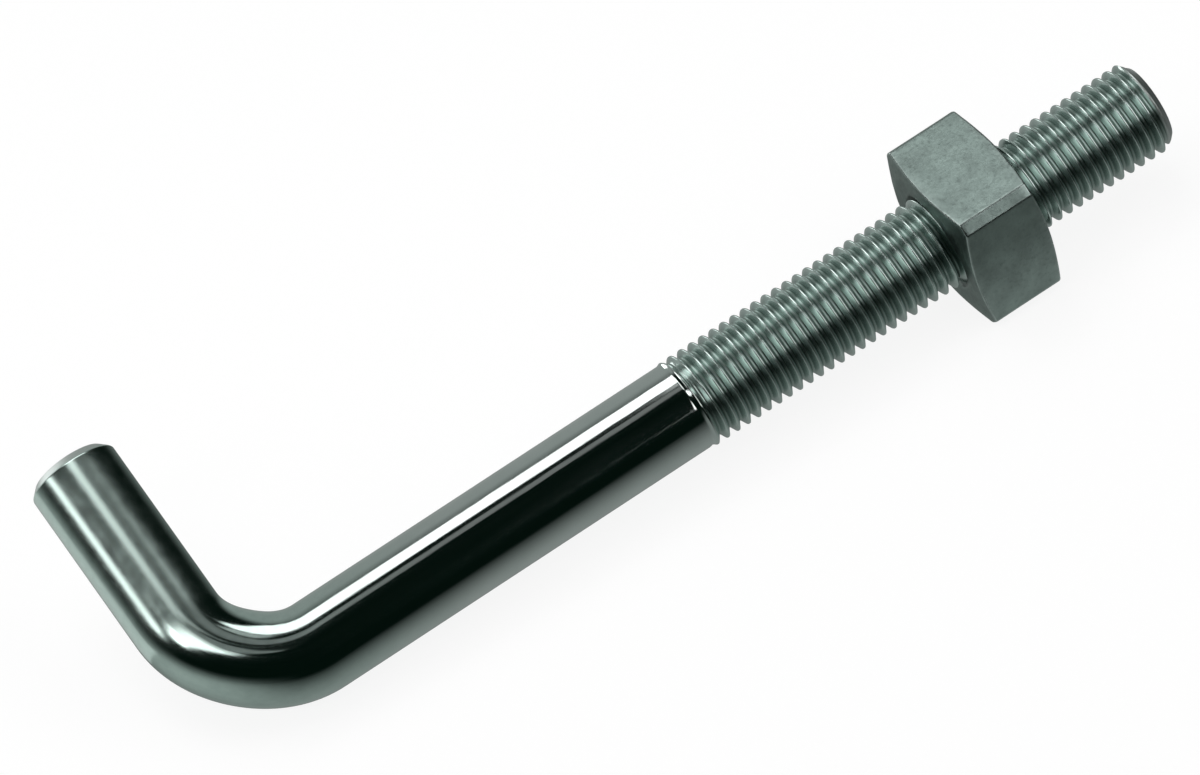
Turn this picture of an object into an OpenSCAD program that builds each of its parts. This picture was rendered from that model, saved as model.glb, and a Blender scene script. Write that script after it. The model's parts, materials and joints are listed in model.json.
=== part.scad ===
// Hook-shaped hinge pin bolt with a square nut, lying where it comes to rest.
// One round bar: a plain hinge pin, a bend and a long arm that is threaded to its tip.
// Each turn of the thread is drawn as a closed ridge of its true pitch and depth.

/* [Bar] */
// Diameter of the plain bar, which is the hinge pin, the bend and the shank
bar_d = 15.2; // [14.6:0.1:15.4]
// From the long arm's axis to the tip of the hinge pin
pin_reach = 46.5; // [36:0.5:80]
// From the hinge pin's axis to the tip of the long arm
arm_reach = 175; // [160:1:300]
// Radius of the bend at the middle of the bar
bend_r = 16; // [12:0.5:24]
// Bevel on both ends of the bar, along the bar and across it
end_bevel = 1.5; // [0.5:0.1:2.5]

/* [Thread] */
// Diameter over the crests of the thread
thread_d = 15.8; // [15.6:0.1:16]
// Length of the threaded stretch, ending at the tip
thread_length = 90; // [60:1:120]
// From one turn of the thread to the next
thread_pitch = 2; // [1.5:0.25:3]
// Depth of the thread, from its crests to its roots
thread_depth = 1.2; // [0.8:0.05:1.4]
// Width of the flat crests
thread_crest = 0.25; // [0.1:0.05:0.5]

/* [Nut] */
// Width of the square nut between opposite flats
nut_af = 24; // [23:0.5:27]
// Width of the nut over opposite corners, which are rounded
nut_corners = 31.8; // [28:0.1:32]
// Thickness of the nut
nut_t = 14.5; // [10:0.5:18]
// Diameter of the round face that the bevels leave on each side of the nut
nut_face_d = 22.8; // [20:0.1:22.9]
// Angle of the bevels on the nut, from its faces
nut_bevel_angle = 12; // [5:1:35]
// Diameter of the countersinks at both ends of the nut's hole
countersink_d = 17.2; // [16.4:0.1:18]
// Gap between the thread's crests and the nut's hole, on each side
thread_gap = 0.05; // [0.02:0.01:0.1]
// From the hinge pin's axis to the middle of the nut
nut_at = 141; // [110:0.5:150]
// Turn of the nut about the long arm, from square with the hook
nut_turn = 26; // [20:1:34]

/* [Hidden] */

bar_r = bar_d / 2;
pin_end = pin_reach - end_bevel;
pin_middle = (bend_r + pin_end) / 2;

thread_r = thread_d / 2;
root_r = thread_r - thread_depth;
flank = (thread_pitch - thread_crest) / 2;
turns = floor((thread_length - end_bevel) / thread_pitch);

// Along the arm: the tip side of a ridge's crest, and its groove on the bend side
function crest_at(turn) = arm_reach - end_bevel - turn * thread_pitch;
function groove_at(turn) = crest_at(turn) - thread_crest - flank;

// Where the first groove breaks out of the shank
shank_end = groove_at(turns - 1) - flank * (bar_r - root_r) / thread_depth;

nut_r = nut_corners / 2;
nut_face_r = nut_face_d / 2;
hole_r = thread_r + thread_gap;
sink_r = countersink_d / 2;
sink_h = sink_r - hole_r;
corner_bevel = (nut_r - nut_face_r) * tan(nut_bevel_angle);
flat_bevel = (nut_af / 2 - nut_face_r) * tan(nut_bevel_angle);
nut_start = nut_at - nut_t / 2;
past = 1;

// The bolt lies on the start of its bend and on the near edge of the nut's lower flat
span = nut_start + flat_bevel - bend_r;
pitch = atan2(nut_af / 2, span) - asin(bar_r / norm([nut_af / 2, span]));

bar_facets = 96;

// Stands a shape that was turned about +Z along +X, the long arm
module along_arm() rotate([0, 90, 0]) children();

// Stands a shape that was turned about +Z along +Y, the hinge pin
module along_pin() rotate([-90, 0, 0]) children();

// Moves the hook from its own axes to the way it lies, with the middle of the pin at the origin
module lying() rotate([nut_turn, -pitch, 0]) translate([0, -pin_middle, 0]) children();

module hinge_pin() {
    along_pin() rotate_extrude($fn = bar_facets) polygon([
        [0, bend_r],
        [bar_r, bend_r],
        [bar_r, pin_end],
        [bar_r - end_bevel, pin_reach],
        [0, pin_reach]
    ]);
}

module bend() {
    translate([bend_r, bend_r, 0]) rotate([0, 0, 180])
        rotate_extrude(angle = 90, $fn = bar_facets * 2)
            translate([bend_r, 0]) circle(d = bar_d, $fn = bar_facets);
}

// Half of a ridge's section: its groove on the bend side, then both edges of its crest
function ridge(turn) = [
    [root_r, groove_at(turn)],
    [thread_r, crest_at(turn) - thread_crest],
    [thread_r, crest_at(turn)]
];

module long_arm() {
    ridges = [for (turn = [turns - 1 : -1 : 0], point = ridge(turn)) point];
    along_arm() rotate_extrude($fn = bar_facets) polygon(concat(
        [[0, bend_r], [bar_r, bend_r], [bar_r, shank_end]],
        ridges,
        [[thread_r - end_bevel, arm_reach], [0, arm_reach]]
    ));
}

module bolt() {
    color([0.70, 0.72, 0.71]) lying() {
        hinge_pin();
        bend();
        long_arm();
    }
}

// Round blank that bevels the nut's faces and rounds its corners
module nut_turning() {
    rotate_extrude($fn = bar_facets) polygon([
        [0, 0],
        [nut_face_r, 0],
        [nut_r, corner_bevel],
        [nut_r, nut_t - corner_bevel],
        [nut_face_r, nut_t],
        [0, nut_t]
    ]);
}

module nut_hole() {
    rotate_extrude($fn = bar_facets) polygon([
        [0, -past],
        [sink_r + past, -past],
        [hole_r, sink_h],
        [hole_r, nut_t - sink_h],
        [sink_r + past, nut_t + past],
        [0, nut_t + past]
    ]);
}

module nut() {
    color([0.58, 0.61, 0.60]) lying()
        translate([nut_start, 0, 0]) rotate([-nut_turn, 0, 0]) along_arm() difference() {
            intersection() {
                translate([-nut_af / 2, -nut_af / 2, 0]) cube([nut_af, nut_af, nut_t]);
                nut_turning();
            }
            nut_hole();
        }
}

bolt();
nut();
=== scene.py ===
import json
import math

import bmesh
import bpy
from mathutils import Matrix, Vector, noise


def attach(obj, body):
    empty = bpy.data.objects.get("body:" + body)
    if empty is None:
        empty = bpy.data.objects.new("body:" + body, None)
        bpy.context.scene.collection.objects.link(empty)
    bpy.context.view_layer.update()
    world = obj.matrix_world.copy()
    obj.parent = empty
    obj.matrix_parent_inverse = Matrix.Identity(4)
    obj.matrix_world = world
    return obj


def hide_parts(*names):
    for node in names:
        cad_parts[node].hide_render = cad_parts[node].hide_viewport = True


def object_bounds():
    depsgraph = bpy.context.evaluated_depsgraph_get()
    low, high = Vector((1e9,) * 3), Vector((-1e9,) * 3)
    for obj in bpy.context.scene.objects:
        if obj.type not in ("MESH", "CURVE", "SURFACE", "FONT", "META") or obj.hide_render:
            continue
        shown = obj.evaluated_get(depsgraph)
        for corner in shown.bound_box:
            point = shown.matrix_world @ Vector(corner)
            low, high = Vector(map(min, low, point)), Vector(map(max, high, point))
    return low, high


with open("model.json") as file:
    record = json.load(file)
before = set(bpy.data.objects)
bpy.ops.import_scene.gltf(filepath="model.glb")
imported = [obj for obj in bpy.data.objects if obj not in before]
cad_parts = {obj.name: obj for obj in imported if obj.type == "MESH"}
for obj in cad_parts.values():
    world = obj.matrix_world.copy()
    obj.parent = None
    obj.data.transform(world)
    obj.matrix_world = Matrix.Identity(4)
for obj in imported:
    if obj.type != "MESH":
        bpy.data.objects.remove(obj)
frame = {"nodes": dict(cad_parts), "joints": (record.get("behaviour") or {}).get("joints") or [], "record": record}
cadLow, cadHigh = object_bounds()
mm = 0.001
print("frame loaded:", ", ".join(sorted(frame["nodes"])))

# The hook's own axes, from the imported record: along the long arm, along the hinge pin, across both
mounts = {m["name"]: m for m in frame["record"]["mounts"]}
pinMount = mounts["hinge_pin"]
armAxis = Vector(frame["joints"][0]["axis"]).normalized()
pinAxis = Vector(pinMount["axis"]).normalized()
crossAxis = armAxis.cross(pinAxis)

bar = {
    "radius": pinMount["dims"]["r_mm"] * mm * 0.9995,       # a hair inside the CAD bar
    "pinWall": pinMount["dims"]["length_mm"] * mm,          # straight part of the hinge pin
    "bendRadius": 16.0 * mm,
    "stretchFlat": 0.5 * mm,        # the bend's outside is drawn a little flat
    "insideSwell": 0.6 * mm,        # and its inside is pressed a little thicker
    "armReach": 175.0 * mm,         # from the pin's axis to the threaded tip
    "endBevel": 1.5 * mm,
    "edgeRound": 0.25 * mm,         # soft edge on both ends' bevels
    "endDish": 0.15 * mm,           # how far the cut ends sink to their middle
    "dishRings": (0.25, 0.5, 0.75, 0.9),    # rings on a cut end, as shares of its radius
    "cutLength": 1.2 * mm,          # the cut ends' dull steel goes this far along the bar
    "cutFade": 0.375 * mm,
    "sides": 96,
    "pinRings": 14,
    "bendRings": 60,
    "shankRings": 24,
}
thread = {
    "crestRadius": 7.9 * mm,
    "crestWidth": 0.25 * mm,
    "pitch": 2.0 * mm,
    "depth": 1.2 * mm,
    "flankAngle": 30.0,             # of a groove's sides, from square to the bar
    "length": 90.0 * mm,
    "fadeIn": 3.2 * mm,             # the grooves grow to full depth over this
    "crestGrow": 1.0 * mm,          # the crests rise above the shank over this
    "soften": 0.045 * mm,           # rounding of crests and roots
    "spareTurns": 2,                # turns that are worked out past each end, before the cut
    "endMatch": 0.0001 * mm,        # a row this close to an end is on it
}

barCorner = Vector(pinMount["pos_m"]) - pinAxis * (bar["bendRadius"] + bar["pinWall"] / 2)
pinReach = bar["bendRadius"] + bar["pinWall"] + bar["endBevel"]
threadStart = bar["armReach"] - thread["length"]


def clamp(value, low, high):
    return max(low, min(high, value))


def smooth(t):
    t = clamp(t, 0, 1)
    return t * t * (3 - 2 * t)


def roundTurn(angle, outward):
    # direction from the bar's middle, starting on the hook's upper side and turning outwards
    return crossAxis * math.cos(angle) + outward * math.sin(angle)


# One turn of the thread, as distances from a crest's middle
sharpFlank = thread["depth"] * math.tan(math.radians(thread["flankAngle"]))
crestHalf = thread["crestWidth"] / 2
rootStart = crestHalf + sharpFlank
halfStops = [
    0,
    crestHalf - thread["soften"],
    crestHalf,
    crestHalf + thread["soften"],
    thread["pitch"] / 4,
    rootStart - thread["soften"],
    rootStart,
    rootStart + thread["soften"],
]
turnStops = halfStops + [thread["pitch"] / 2] + [thread["pitch"] - x for x in reversed(halfStops[1:])]


def threadHeight(offset):
    # 1 on the crests, 0 in the roots, with both rounded
    def sharp(x):
        x = x % thread["pitch"]
        x = min(x, thread["pitch"] - x)
        return 1 - clamp((x - crestHalf) / sharpFlank, 0, 1)
    r = thread["soften"]
    return (sharp(offset - r) + 2 * sharp(offset) + sharp(offset + r)) / 4


def helixSkin(bm, low, high, angles, radiusAt, makeVertex, startRing, endRing, inside=False):
    # rows that climb one pitch a turn, cut square at both ends
    pitch = thread["pitch"]
    firstTurn = math.floor(low / pitch) - thread["spareTurns"]
    lastTurn = math.ceil(high / pitch) + thread["spareTurns"]
    rows = [(turn * pitch + x, x) for turn in range(firstTurn, lastTurn + 1) for x in turnStops]
    made = {}

    def vertex(i, j):
        i = min(i, len(rows) - 1)
        along = rows[i][0] + pitch * angles[j] / (2 * math.pi)
        if along <= low + thread["endMatch"]:
            return startRing[j]
        if along >= high - thread["endMatch"]:
            return endRing[j]
        if (i, j) not in made:
            height = threadHeight(rows[i][1])
            made[i, j] = makeVertex(along, angles[j], radiusAt(along, height), height)
        return made[i, j]

    for j in range(len(angles)):
        # past the last column, each row meets the row one turn on
        nextJ = (j + 1) % len(angles)
        shift = len(turnStops) if nextJ == 0 else 0
        for i in range(len(rows) - 1):
            corners = [vertex(i, j), vertex(i + 1, j)]
            corners += [vertex(i + 1 + shift, nextJ), vertex(i + shift, nextJ)]
            corners = [v for n, v in enumerate(corners) if v is not corners[n - 1]]
            if len(corners) > 2:
                bm.faces.new(corners if inside else reversed(corners))


def joinRings(bm, first, second):
    for j in range(len(first)):
        k = (j + 1) % len(first)
        bm.faces.new((first[j], first[k], second[k], second[j]))


def closeRing(bm, ring, middle, atStart=False):
    for j in range(len(ring)):
        corners = [ring[j], ring[(j + 1) % len(ring)], middle]
        bm.faces.new(reversed(corners) if atStart else corners)


def roundedCorner(before, corner, after, radius, steps=4):
    # points that cut a corner of a (radius, along) outline with a soft curve
    corner, before, after = Vector(corner), Vector(before), Vector(after)
    a = corner + (before - corner).normalized() * radius
    b = corner + (after - corner).normalized() * radius
    points = []
    for n in range(steps + 1):
        t = n / steps
        points.append(a * (1 - t) ** 2 + corner * 2 * t * (1 - t) + b * t * t)
    return points


def endOutline(radius, reach):
    # a bar end from its middle out to the full radius, as (radius, along)
    bevel, soft = bar["endBevel"], bar["edgeRound"]
    face = radius - bevel
    points = [Vector((face * t, reach - bar["endDish"] * (1 - t * t))) for t in bar["dishRings"]]
    points += roundedCorner((0, reach), (face, reach), (radius, reach - bevel), soft)
    points += roundedCorner((face, reach), (radius, reach - bevel), (radius, reach - 2 * bevel), soft)
    return points


def finishMesh(bm, name, body, nodeName):
    bm.normal_update()
    mesh = bpy.data.meshes.new(name)
    bm.to_mesh(mesh)
    bm.free()
    for face in mesh.polygons:
        face.use_smooth = True
    piece = bpy.data.objects.new(name, mesh)
    bpy.context.scene.collection.objects.link(piece)
    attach(piece, body)
    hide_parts(nodeName)
    return piece


def makeBolt():
    bm = bmesh.new()
    flatPoint = bm.verts.layers.float_vector.new("barPoint")    # the bar straightened out
    groove = bm.verts.layers.float.new("groove")                # 1 in the thread's roots
    threaded = bm.verts.layers.float.new("threaded")            # 1 where the bar is threaded
    cutEnd = bm.verts.layers.float.new("cutEnd")                # 1 on the ends and their bevels
    sides, bendR = bar["sides"], bar["bendRadius"]
    bendLength = bendR * math.pi / 2
    bendStart = pinReach - bendR        # along the bar, from the pin's tip
    armShift = bendStart + bendLength - bendR

    def addVertex(middle, outward, angle, radius, along, inGroove=0.0, inThread=0.0):
        v = bm.verts.new(middle + roundTurn(angle, outward) * radius)
        fromEnd = min(along, armShift + bar["armReach"] - along)
        v[cutEnd] = 1 - smooth((fromEnd - bar["cutLength"]) / bar["cutFade"])
        v[flatPoint] = (math.cos(angle) * radius, math.sin(angle) * radius, along)
        v[groove] = inGroove
        v[threaded] = inThread
        return v

    def ring(middle, outward, radius, along):
        made = []
        for j in range(sides):
            angle = 2 * math.pi * j / sides
            r = radius(angle) if callable(radius) else radius
            made.append(addVertex(middle, outward, angle, r, along))
        return made

    def armPoint(along):
        return barCorner + armAxis * along

    # hinge pin, from its tip down to the bend
    rings = []
    tip = endOutline(bar["radius"], pinReach)
    for r, reach in tip:
        rings.append(ring(barCorner + pinAxis * reach, -armAxis, r, pinReach - reach))
    pinTop = tip[-1][1]
    for n in range(1, bar["pinRings"] + 1):
        reach = pinTop + (bendR - pinTop) * n / bar["pinRings"]
        rings.append(ring(barCorner + pinAxis * reach, -armAxis, bar["radius"], pinReach - reach))

    # the bend, a little flat on its stretched side and thicker on its inside
    bendCentre = barCorner + (armAxis + pinAxis) * bendR
    for n in range(1, bar["bendRings"] + 1):
        turn = math.pi / 2 * n / bar["bendRings"]
        outward = -(armAxis * math.cos(turn) + pinAxis * math.sin(turn))
        share = math.sin(2 * turn) ** 2

        def bent(angle, share=share):
            side = math.sin(angle)
            change = -bar["stretchFlat"] if side > 0 else bar["insideSwell"]
            return bar["radius"] + share * change * side ** 2
        rings.append(ring(bendCentre + outward * bendR, outward, bent, bendStart + bendR * turn))

    # plain shank up to the thread
    for n in range(1, bar["shankRings"] + 1):
        along = bendR + (threadStart - bendR) * n / bar["shankRings"]
        rings.append(ring(armPoint(along), -pinAxis, bar["radius"], armShift + along))

    middle = barCorner + pinAxis * (pinReach - bar["endDish"])
    closeRing(bm, rings[0], addVertex(middle, -armAxis, 0, 0, bar["endDish"]), atStart=True)
    for first, second in zip(rings, rings[1:]):
        joinRings(bm, first, second)

    # the thread, with its last turns cut by the tip's bevel
    faceRadius = thread["crestRadius"] - bar["endBevel"]

    def threadRadius(along, height):
        grown = smooth((along - threadStart) / thread["crestGrow"])
        cut = smooth((along - threadStart) / thread["fadeIn"])
        crest = bar["radius"] + (thread["crestRadius"] - bar["radius"]) * grown
        root = bar["radius"] + (thread["crestRadius"] - thread["depth"] - bar["radius"]) * cut
        r = root + (crest - root) * height
        return min(r, faceRadius + bar["armReach"] - along)

    def threadVertex(along, angle, radius, height):
        cut = smooth((along - threadStart) / thread["fadeIn"])
        inGroove = (1 - height) * cut
        return addVertex(armPoint(along), -pinAxis, angle, radius, armShift + along, inGroove, cut)

    tipRing = ring(armPoint(bar["armReach"]), -pinAxis, faceRadius, armShift + bar["armReach"])
    angles = [2 * math.pi * j / sides for j in range(sides)]
    helixSkin(bm, threadStart, bar["armReach"], angles, threadRadius, threadVertex, rings[-1], tipRing)

    # the threaded tip's face
    last = tipRing
    for t in reversed(bar["dishRings"]):
        along = bar["armReach"] - bar["endDish"] * (1 - t * t)
        inner = ring(armPoint(along), -pinAxis, faceRadius * t, armShift + along)
        joinRings(bm, last, inner)
        last = inner
    along = bar["armReach"] - bar["endDish"]
    closeRing(bm, last, addVertex(armPoint(along), -pinAxis, 0, 0, armShift + along))
    return finishMesh(bm, "hinge_pin_bolt", "bolt", "bolt")


nut = {
    "acrossFlats": 24.0 * mm,
    "cornerRadius": 15.9 * mm,
    "thickness": 14.5 * mm,
    "faceRadius": 11.4 * mm,
    "bevelAngle": 12.0,
    "sinkRadius": 8.6 * mm,
    "minorRadius": 6.92 * mm,
    "threadGap": 0.06 * mm,
    "turn": -26.0,                  # middle of the upper flat, from the hook's plane
    "softEdge": 0.32 * mm,
    "softShare": 0.45,              # the soft edges take this much of the bevel at most
    "cornerBlend": 0.16 * mm,       # rounding where the flats meet the corners
    "cornerSpread": 0.9,            # degrees, for the columns there
    "cornerColumns": (-1.3, -0.65, 0.0, 0.65, 1.3),
    "wear": 0.6,                    # how unevenly the edges are worn, as a share of their rounding
    "wearLimit": 0.4,
    "wearScale": 5.0,               # of the noise around the nut
    "wearApart": 7.0,               # from one end's noise to the other's
    "wornGain": 60.0,               # how soon a curved edge counts as worn
    "unevenness": 0.05 * mm,        # forged flats, always inwards
    "dents": ((5.0 * mm, 0.45), (1.8 * mm, 0.2)),   # their size and how much they add
    "flatColumns": 13,
    "faceRings": (0.0, 0.3, 0.65),  # shares of the face from the countersink out
    "bevelRings": (0.33, 0.67),
    "sideRows": 6,
}
nutStart = (Vector(mounts["nut_bearing_face"]["pos_m"]) - barCorner).dot(armAxis)
nutEnd = nutStart + nut["thickness"]


def nutColumns():
    # degrees from the middle of each flat, with columns close together where a corner's rounding starts
    edge = math.degrees(math.acos(nut["acrossFlats"] / 2 / nut["cornerRadius"]))
    plain = edge - 2 * nut["cornerSpread"]
    half = [plain * n / nut["flatColumns"] for n in range(nut["flatColumns"] + 1)]
    half += [edge + nut["cornerSpread"] * step for step in nut["cornerColumns"]]
    quarter = half + [45.0] + [90 - local for local in reversed(half[1:])]
    return [local + 90 * side for side in range(4) for local in quarter]


def nutRadius(local):
    # the flats run into the rounded corners with a soft edge that stays inside both
    flatAway = nut["acrossFlats"] / 2 / math.cos(math.radians((local + 45) % 90 - 45))
    cornerAway = nut["cornerRadius"]
    blend = nut["cornerBlend"]
    near = clamp(0.5 + (cornerAway - flatAway) / (2 * blend), 0, 1)
    return cornerAway + (flatAway - cornerAway) * near - blend * near * (1 - near)


def nutOutline(radius, edgeSoft):
    # half of a column, from the hole's rim to the middle of the side, as (radius, from the end face)
    sink, face = nut["sinkRadius"], nut["faceRadius"]
    drop = (radius - face) * math.tan(math.radians(nut["bevelAngle"]))
    sideMiddle = Vector((radius, nut["thickness"] / 2))
    soft = min(edgeSoft, nut["softShare"] * (radius - face))
    points = [Vector((sink + (face - edgeSoft - sink) * t, 0)) for t in nut["faceRings"]]
    points += roundedCorner((sink, 0), (face, 0), (radius, drop), soft)
    bevelStart = points[-1]
    edge = roundedCorner((face, 0), (radius, drop), sideMiddle, soft)
    points += [bevelStart.lerp(edge[0], t) for t in nut["bevelRings"]]
    points += edge
    points += [edge[-1].lerp(sideMiddle, n / nut["sideRows"]) for n in range(1, nut["sideRows"])]
    return points


def makeNut():
    bm = bmesh.new()
    groove = bm.verts.layers.float.new("groove")    # 1 in the roots of the hole's thread
    worn = bm.verts.layers.float.new("edge")        # 1 on the nut's soft edges
    local = nutColumns()
    angles = [math.radians(nut["turn"] + degrees) for degrees in local]

    def vertexAt(angle, radius, along):
        return bm.verts.new(barCorner + armAxis * along + roundTurn(angle, -pinAxis) * radius)

    # each column's outline, softened unevenly as forging and use leave it
    columns = []
    for angle, degrees in zip(angles, local):
        around = Vector((math.cos(angle), math.sin(angle), 0)) * nut["wearScale"]
        halves = []
        for end in (0, 1):
            wear = nut["wear"] * noise.noise(around + Vector((0, 0, nut["wearApart"] * end)))
            soft = nut["softEdge"] * (1 + clamp(wear, -nut["wearLimit"], nut["wearLimit"]))
            halves.append(nutOutline(nutRadius(degrees), soft))
        start = [(p[0], nutStart + p[1]) for p in halves[0]]
        end = [(p[0], nutEnd - p[1]) for p in reversed(halves[1])]
        middle = (nutRadius(degrees), (nutStart + nutEnd) / 2)
        columns.append(start + [middle] + end)
    shell = [[vertexAt(angle, *column[n]) for angle, column in zip(angles, columns)]
             for n in range(len(columns[0]))]
    for first, second in zip(shell, shell[1:]):
        joinRings(bm, first, second)

    bm.normal_update()
    for ring in shell:
        for v in ring:
            sharpest = max(1 - v.normal.dot(face.normal) for face in v.link_faces)
            v[worn] = clamp(nut["wornGain"] * sharpest, 0, 1)

    # forged flats are a little uneven, never proud of the true shape
    moves = []
    for ring in shell[1:-1]:
        for v in ring:
            dent = 0.5
            for size, share in nut["dents"]:
                dent += share * noise.noise(v.co / size)
            moves.append((v, v.normal * nut["unevenness"] * clamp(dent, 0, 1)))
    for v, move in moves:
        v.co -= move

    # internal thread, in step with the bolt's, and open countersinks
    def holeRadius(along, height):
        outer = thread["crestRadius"] - thread["depth"] * (1 - height) + nut["threadGap"]
        fromFace = min(along - nutStart, nutEnd - along)
        return max(outer, nut["minorRadius"], nut["sinkRadius"] - fromFace)

    def holeVertex(along, angle, radius, height):
        v = vertexAt(angle, radius, along)
        v[groove] = clamp((radius - nut["minorRadius"]) / thread["depth"], 0, 1)
        return v

    helixSkin(bm, nutStart, nutEnd, angles, holeRadius, holeVertex, shell[0], shell[-1], inside=True)
    return finishMesh(bm, "square_nut", "nut", "nut")


boltPiece = makeBolt()
print("bolt made:", len(boltPiece.data.polygons), "faces")
nutPiece = makeNut()
print("nut made:", len(nutPiece.data.polygons), "faces")


def startMaterial(name):
    material = bpy.data.materials.new(name)
    material.use_nodes = True
    tree = material.node_tree
    tree.nodes.clear()
    out = tree.nodes.new("ShaderNodeOutputMaterial")
    shader = tree.nodes.new("ShaderNodeBsdfPrincipled")
    shader.inputs["Metallic"].default_value = 1.0
    tree.links.new(shader.outputs["BSDF"], out.inputs["Surface"])
    return material, tree, shader


def addNode(tree, kind, inputs=(), **settings):
    # each input is another node's socket or a plain value
    node = tree.nodes.new(kind)
    for key, value in settings.items():
        setattr(node, key, value)
    for key, value in dict(inputs).items():
        if isinstance(value, bpy.types.NodeSocket):
            tree.links.new(value, node.inputs[key])
        else:
            node.inputs[key].default_value = value
    return node


def meshValue(tree, name):
    return addNode(tree, "ShaderNodeAttribute", attribute_name=name).outputs["Fac"]


def noiseAt(tree, where, scale, detail=4.0, roughness=0.55, stretch=(1, 1, 1)):
    placed = addNode(tree, "ShaderNodeMapping", {"Vector": where, "Scale": stretch})
    return addNode(tree, "ShaderNodeTexNoise", {
        "Vector": placed.outputs["Vector"], "Scale": scale, "Detail": detail, "Roughness": roughness,
    }).outputs["Fac"]


def remap(tree, value, fromLow, fromHigh, toLow, toHigh):
    return addNode(tree, "ShaderNodeMapRange", {
        "Value": value, "From Min": fromLow, "From Max": fromHigh, "To Min": toLow, "To Max": toHigh,
    }).outputs["Result"]


def ramp(tree, value, start, full):
    # smooth rise from 0 at start to 1 at full, which may lie lower than start
    return addNode(tree, "ShaderNodeMapRange", {
        "Value": value, "From Min": start, "From Max": full, "To Min": 0.0, "To Max": 1.0,
    }, interpolation_type="SMOOTHSTEP").outputs["Result"]


def mixColour(tree, factor, first, second):
    # the Mix node has the colours' sockets at 6 and 7, and their result at 2
    return addNode(tree, "ShaderNodeMix", {0: factor, 6: first, 7: second}, data_type="RGBA").outputs[2]


def mixValue(tree, factor, first, second):
    return addNode(tree, "ShaderNodeMix", {0: factor, 2: first, 3: second}, data_type="FLOAT").outputs[0]


def doMath(tree, operation, first, second):
    return addNode(tree, "ShaderNodeMath", {0: first, 1: second}, operation=operation).outputs["Value"]


noiseMiddle = (0.3, 0.7)            # most of a noise's values lie between these

# The noises' scales are in cells a metre
boltFinish = {
    "cutLight": (0.66, 0.70, 0.685, 1),
    "shankLight": (0.70, 0.76, 0.74, 1),
    "shankDark": (0.64, 0.70, 0.68, 1),
    "pinLight": (0.62, 0.755, 0.705, 1),
    "pinDark": (0.545, 0.67, 0.625, 1),
    "crestLight": (0.60, 0.70, 0.668, 1),
    # painted shade: the thread's roots take this darker colour
    "paintedGrooveShade": (0.32, 0.405, 0.375, 1),
    "grooveEdges": (0.1, 0.95),     # the crests' finish turns into the grooves' rougher finish and painted shade between these depths
    "tintSpan": (80.0 * mm, 45.0 * mm),     # along the bar, the pin's greener zinc comes on over this
    "satinSpan": (41.0 * mm, 27.0 * mm),    # and its satin finish over this
    "shankRoughness": 0.065,
    "streakRoughness": 0.04,        # added by the streaks of drawing
    "pinRoughness": (0.205, 0.265),
    "threadRoughness": 0.20,
    "grooveRoughness": 0.28,
    "cutRoughness": 0.48,
    "clouds": 140.0,
    "blotches": 520.0,
    "streaks": 2600.0,
    "streakRange": (0.35, 0.65),
    "streakStretch": (1, 1, 0.012),
    "scratches": 5200.0,
    "scratchStretch": (1, 1, 0.03),
    "scratchStrength": 0.5,
    "scratchDepth": 0.008 * mm,
    "grain": 2400.0,
    "shankGrain": 0.06,             # the bump's strength on the shank
    "pinGrain": 0.3,                # and on the pin
    "grainDepth": 0.012 * mm,
}


def boltMaterial():
    finish = boltFinish
    material, tree, shader = startMaterial("bright_zinc_bar")
    where = addNode(tree, "ShaderNodeAttribute", attribute_name="barPoint").outputs["Vector"]
    groove = meshValue(tree, "groove")
    threaded = meshValue(tree, "threaded")
    cutEnd = meshValue(tree, "cutEnd")
    along = addNode(tree, "ShaderNodeSeparateXYZ", {"Vector": where}).outputs["Z"]

    clouds = noiseAt(tree, where, finish["clouds"], detail=3)
    blotches = noiseAt(tree, where, finish["blotches"], detail=4, roughness=0.6)
    streaks = noiseAt(tree, where, finish["streaks"], detail=2, stretch=finish["streakStretch"])
    scratches = noiseAt(tree, where, finish["scratches"], detail=2, stretch=finish["scratchStretch"])
    grain = noiseAt(tree, where, finish["grain"], detail=3)

    # the drawn shank is bright, the pin satin, and the thread satin, its rougher grooves darkened with painted
    # shade
    cloudy = remap(tree, clouds, *noiseMiddle, 0, 1)
    shank = mixColour(tree, cloudy, finish["shankDark"], finish["shankLight"])
    blotchy = remap(tree, blotches, *noiseMiddle, 0, 1)
    pin = mixColour(tree, blotchy, finish["pinDark"], finish["pinLight"])
    plain = mixColour(tree, remap(tree, along, *finish["tintSpan"], 0, 1), shank, pin)
    inGroove = remap(tree, groove, *finish["grooveEdges"], 0, 1)
    # painted shade: the colour darkens from the crests into the thread's roots
    cut = mixColour(tree, inGroove, finish["crestLight"], finish["paintedGrooveShade"])
    colour = mixColour(tree, threaded, plain, cut)
    tree.links.new(mixColour(tree, cutEnd, colour, finish["cutLight"]), shader.inputs["Base Color"])

    satin = ramp(tree, along, *finish["satinSpan"])
    drawn = remap(tree, streaks, *finish["streakRange"], 0, finish["streakRoughness"])
    shankRough = doMath(tree, "ADD", drawn, finish["shankRoughness"])
    pinRough = remap(tree, blotches, *noiseMiddle, *finish["pinRoughness"])
    plainRough = mixValue(tree, satin, shankRough, pinRough)
    threadRough = mixValue(tree, inGroove, finish["threadRoughness"], finish["grooveRoughness"])
    rough = mixValue(tree, threaded, plainRough, threadRough)
    tree.links.new(mixValue(tree, cutEnd, rough, finish["cutRoughness"]), shader.inputs["Roughness"])

    scratched = addNode(tree, "ShaderNodeBump", {
        "Height": scratches, "Strength": finish["scratchStrength"], "Distance": finish["scratchDepth"]})
    pitted = addNode(tree, "ShaderNodeBump", {
        "Height": grain, "Strength": mixValue(tree, satin, finish["shankGrain"], finish["pinGrain"]),
        "Distance": finish["grainDepth"], "Normal": scratched.outputs["Normal"]})
    tree.links.new(pitted.outputs["Normal"], shader.inputs["Normal"])
    return material


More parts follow.
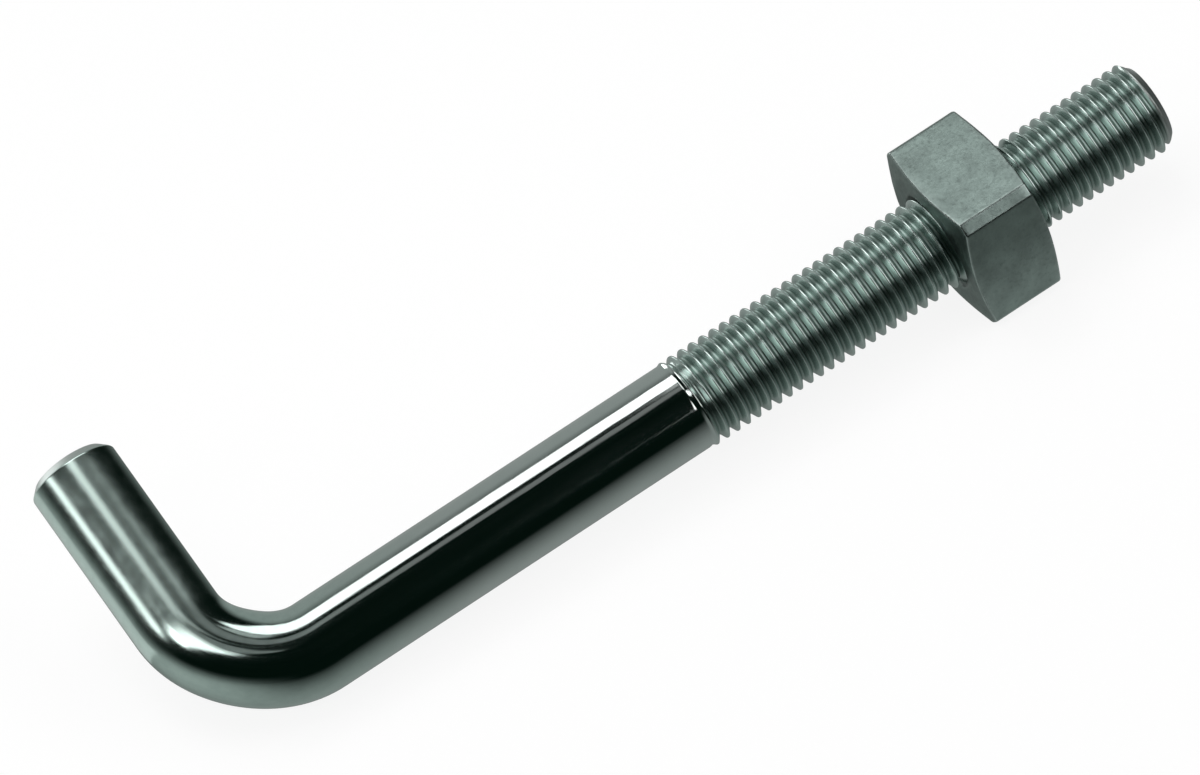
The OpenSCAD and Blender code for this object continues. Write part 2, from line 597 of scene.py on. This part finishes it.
nutFinish = {
    "light": (0.285, 0.36, 0.335, 1),
    "dark": (0.205, 0.257, 0.24, 1),
    "edge": (0.50, 0.57, 0.55, 1),
    # darkest tone: real grime in the specks, and painted shade in the roots of the hole's thread
    "grimeAndShade": (0.09, 0.115, 0.105, 1),
    "clouds": 260.0,
    "cloudRange": (0.32, 0.68),
    "specks": 1500.0,
    "speckRange": (0.56, 0.75),     # only the strongest specks hold grime
    "speckGrime": 0.35,
    # painted shade: the roots of the hole's thread are darkened, up to this share
    "grooveRange": (0.2, 1.0),
    "grooveShadeShare": 0.8,
    "rubbedRange": (0.3, 0.6),      # the clouds also say where the edges are rubbed bright
    "rubbedShare": (0.3, 0.9),
    "roughness": (0.28, 0.44),
    "edgeRoughness": 0.24,
    "grainStrength": 0.4,
    "grainDepth": 0.07 * mm,
}


def nutMaterial():
    finish = nutFinish
    material, tree, shader = startMaterial("satin_zinc_nut")
    where = addNode(tree, "ShaderNodeTexCoord").outputs["Object"]
    clouds = noiseAt(tree, where, finish["clouds"], detail=5, roughness=0.6)
    specks = noiseAt(tree, where, finish["specks"], detail=4, roughness=0.65)

    cloudy = remap(tree, clouds, *finish["cloudRange"], 0, 1)
    shade = mixColour(tree, cloudy, finish["dark"], finish["light"])
    speckled = remap(tree, specks, *finish["speckRange"], 0, finish["speckGrime"])
    shade = mixColour(tree, speckled, shade, finish["grimeAndShade"])
    bare = remap(tree, clouds, *finish["rubbedRange"], *finish["rubbedShare"])
    rubbed = doMath(tree, "MULTIPLY", meshValue(tree, "edge"), bare)
    shade = mixColour(tree, rubbed, shade, finish["edge"])
    # painted shade: the roots of the hole's thread are coloured darker
    rootShade = remap(tree, meshValue(tree, "groove"), *finish["grooveRange"], 0, finish["grooveShadeShare"])
    tree.links.new(mixColour(tree, rootShade, shade, finish["grimeAndShade"]), shader.inputs["Base Color"])

    rough = remap(tree, specks, *noiseMiddle, *finish["roughness"])
    tree.links.new(mixValue(tree, rubbed, rough, finish["edgeRoughness"]), shader.inputs["Roughness"])
    forged = addNode(tree, "ShaderNodeBump", {
        "Height": specks, "Strength": finish["grainStrength"], "Distance": finish["grainDepth"]})
    tree.links.new(forged.outputs["Normal"], shader.inputs["Normal"])
    return material


boltPiece.data.materials.append(boltMaterial())
nutPiece.data.materials.append(nutMaterial())
print("finishes set")


# Heights in the room are given as the z of a direction: 0 level, 1 straight up, -1 straight down
room = {
    "tableSize": 14.0,
    "tableColour": (0.15, 0.15, 0.15, 1),
    "tableRoughness": 0.9,
    "tableGlow": 0.89,              # a light table, which keeps the shadows faint
    "white": (1, 1, 1, 1),
    "seen": 0.985,                  # glow of the backdrop behind the table, for the camera
    "tint": (0.94, 1.0, 0.975, 1),  # of the walls and the table, in the steel
    "dark": (0.0017, 0.0058, 0.0040, 1),    # the rest of the room, in the steel
    "farWall": {"glow": 0.321, "from": 0.56, "full": 0.75, "top": (0.955, 0.38)},
    "leftWall": {"glow": 0.38, "from": 0.21, "full": 1.20, "top": (0.165, -0.37)},
    "table": {"glow": 0.34, "from": -0.132, "full": -1.14},
}


def makeTable():
    half, z = room["tableSize"] / 2, cadLow.z       # the steel lies on it
    corners = [(-half, -half, z), (half, -half, z), (half, half, z), (-half, half, z)]
    mesh = bpy.data.meshes.new("light_table")
    mesh.from_pydata(corners, [], [(0, 1, 2, 3)])
    table = bpy.data.objects.new("light_table", mesh)
    bpy.context.scene.collection.objects.link(table)
    material = bpy.data.materials.new("pale_table")
    material.use_nodes = True
    shader = material.node_tree.nodes["Principled BSDF"]
    shader.inputs["Base Color"].default_value = room["tableColour"]
    shader.inputs["Roughness"].default_value = room["tableRoughness"]
    shader.inputs["Specular IOR Level"].default_value = 0.0
    shader.inputs["Emission Color"].default_value = room["white"]
    shader.inputs["Emission Strength"].default_value = room["tableGlow"]
    mesh.materials.append(material)
    table.visible_glossy = False        # the steel mirrors the room's own table instead


def makeRoom():
    # the camera sees a pale backdrop, and the steel mirrors a dim room
    world = bpy.data.worlds.new("studio")
    bpy.context.scene.world = world
    world.use_nodes = True
    tree = world.node_tree
    tree.nodes.clear()
    out = tree.nodes.new("ShaderNodeOutputWorld")
    toward = addNode(tree, "ShaderNodeTexCoord").outputs["Generated"]
    split = addNode(tree, "ShaderNodeSeparateXYZ", {"Vector": toward}).outputs

    def wall(settings, outward):
        # brighter the more a direction points at the wall, up to its soft top
        rise = ramp(tree, outward, settings["from"], settings["full"])
        under = ramp(tree, split["Z"], *settings["top"])
        return doMath(tree, "MULTIPLY", doMath(tree, "MULTIPLY", rise, under), settings["glow"])

    def background(colour, strength):
        return addNode(tree, "ShaderNodeBackground", {"Color": colour, "Strength": strength}).outputs[0]

    farWall = wall(room["farWall"], split["Y"])
    leftWall = wall(room["leftWall"], doMath(tree, "MULTIPLY", split["X"], -1.0))
    below = room["table"]
    table = remap(tree, split["Z"], below["from"], below["full"], 0.0, below["glow"])
    walls = doMath(tree, "ADD", doMath(tree, "MAXIMUM", farWall, table), leftWall)
    mirrored = addNode(tree, "ShaderNodeAddShader", {
        0: background(room["tint"], walls),
        1: background(room["dark"], 1.0),
    }).outputs[0]
    path = addNode(tree, "ShaderNodeLightPath").outputs
    shown = addNode(tree, "ShaderNodeMixShader", {
        0: path["Is Camera Ray"],
        1: mirrored,
        2: background(room["white"], room["seen"]),
    }).outputs[0]
    tree.links.new(shown, out.inputs["Surface"])


makeTable()
makeRoom()

# Softboxes, by the two opposite corners of their faces in metres from the bar's corner, and how
# bright they are. A face is flat along the axis where both corners agree, and looks at the bolt.
# The two at the foot lie on the table and look up, under the nut and under the raised pin.
softboxes = {
    "strip": {"corners": ((-0.134, 0.189, 0.584), (0.47, 0.56, 0.584)), "glow": 1.34},
    "stripFront": {"corners": ((0.157, 0.076, 0.485), (0.286, 0.141, 0.485)), "glow": 0.35},
    "window": {"corners": ((-0.772, -0.384, 0.672), (-0.772, -0.261, 1.164)), "glow": 2.2},
    "left": {"corners": ((-0.69, -0.072, 0.33), (-0.69, 0.553, 0.537)), "glow": 1.64},
    "topLeft": {"corners": ((-0.34, -0.154, 0.30), (-0.042, -0.063, 0.30)), "glow": 0.69},
    "bend": {"corners": ((-0.446, -0.205, 0.372), (-0.09, -0.097, 0.372)), "glow": 0.75},
    "bendLow": {"corners": ((-0.04, -0.125, 0.30), (0.02, -0.06, 0.30)), "glow": 0.17},
    "overhead": {"corners": ((-0.042, -0.041, 0.30), (0.038, 0.189, 0.30)), "glow": 1.1},
    "top": {"corners": ((-0.024, -0.022, 0.30), (0.283, 0.031, 0.30)), "glow": 0.155},
    "right": {"corners": ((0.75, -0.773, -0.02), (0.75, -0.306, 0.716)), "glow": 0.145},
    "key": {"corners": ((0.245, -0.721, 0.38), (0.597, -0.05, 0.38)), "glow": 1.30},
    "behind": {"corners": ((-0.32, 0.9, -0.25), (0.0, 0.9, 0.2)), "glow": 1.6},
    "nutFoot": {"corners": ((0.134, -0.0225, -0.0069), (0.156, -0.0125, -0.0069)), "glow": 0.20},
    "pinFoot": {"corners": ((-0.075, 0.02, -0.0069), (-0.012, 0.095, -0.0069)), "glow": 0.26},
}
floorLight = {"height": 1.6, "size": 1.2, "shift": (-0.25, 0.45), "glow": 1.2}


def addAreaLight(name, middle, sizes, facing, glow):
    # 4 watts on a square metre look as bright as a glow of 1
    light = bpy.data.lights.new(name, "AREA")
    light.shape = "RECTANGLE"
    light.size, light.size_y = sizes
    light.energy = 4 * glow * sizes[0] * sizes[1]
    lamp = bpy.data.objects.new(name, light)
    bpy.context.scene.collection.objects.link(lamp)
    back = -facing
    side = Vector((1, 0, 0)) if abs(facing.x) < 0.5 else Vector((0, 1, 0))
    upright = back.cross(side)
    lamp.matrix_world = Matrix.Translation(middle) @ Matrix((side, upright, back)).transposed().to_4x4()
    lamp.visible_camera = False
    return lamp


def addSoftbox(name, box):
    first, second = (Vector(corner) for corner in box["corners"])
    middle = (first + second) / 2
    spans = [abs(second[n] - first[n]) for n in range(3)]
    flatAxis = spans.index(min(spans))
    facing = Vector((0, 0, 0))
    facing[flatAxis] = -1 if middle[flatAxis] > 0 else 1
    sizes = (spans[1], spans[2]) if flatAxis == 0 else (spans[0], spans[3 - flatAxis])
    addAreaLight(name, barCorner + middle, sizes, facing, box["glow"])


def addFloorLight():
    # soft light on the floor alone, for a faint shadow
    middle = Vector((*floorLight["shift"], floorLight["height"])) + barCorner
    size = floorLight["size"]
    lamp = addAreaLight("floor_light", middle, (size, size), Vector((0, 0, -1)), floorLight["glow"])
    lamp.visible_glossy = False


for name, box in softboxes.items():
    addSoftbox(name, box)
addFloorLight()
print("lights set:", ", ".join(softboxes))

# The photograph looks down on the hook's plane with a long lens, level with that plane
camera = {
    "aboveHook": 71.3,                  # degrees, as is the next
    "hookTurn": 34.57,
    "lookAt": (76.2 * mm, 10.1 * mm),   # along the arm and along the pin, from the bar's corner
    "distance": 1.7,
    "frameWidth": 188.7 * mm,           # seen across the picture at that distance
    "sensor": 36.0,
    "clip": (0.05, 50.0),
}


def addCamera():
    up, turn = math.radians(camera["aboveHook"]), math.radians(camera["hookTurn"])
    right = armAxis * math.cos(turn) - pinAxis * math.sin(turn)
    ahead = armAxis * math.sin(turn) + pinAxis * math.cos(turn)
    back = crossAxis * math.sin(up) - ahead * math.cos(up)
    top = crossAxis * math.cos(up) + ahead * math.sin(up)
    data = bpy.data.cameras.new("camera")
    data.sensor_width = camera["sensor"]
    data.lens = camera["sensor"] * camera["distance"] / camera["frameWidth"]
    data.clip_start, data.clip_end = camera["clip"]
    view = bpy.data.objects.new("camera", data)
    bpy.context.scene.collection.objects.link(view)
    target = barCorner + armAxis * camera["lookAt"][0] + pinAxis * camera["lookAt"][1]
    turned = Matrix((right, top, back)).transposed().to_4x4()
    view.matrix_world = Matrix.Translation(target + back * camera["distance"]) @ turned
    bpy.context.scene.camera = view


addCamera()
bpy.context.scene.view_settings.view_transform = "Standard"
print("camera set")
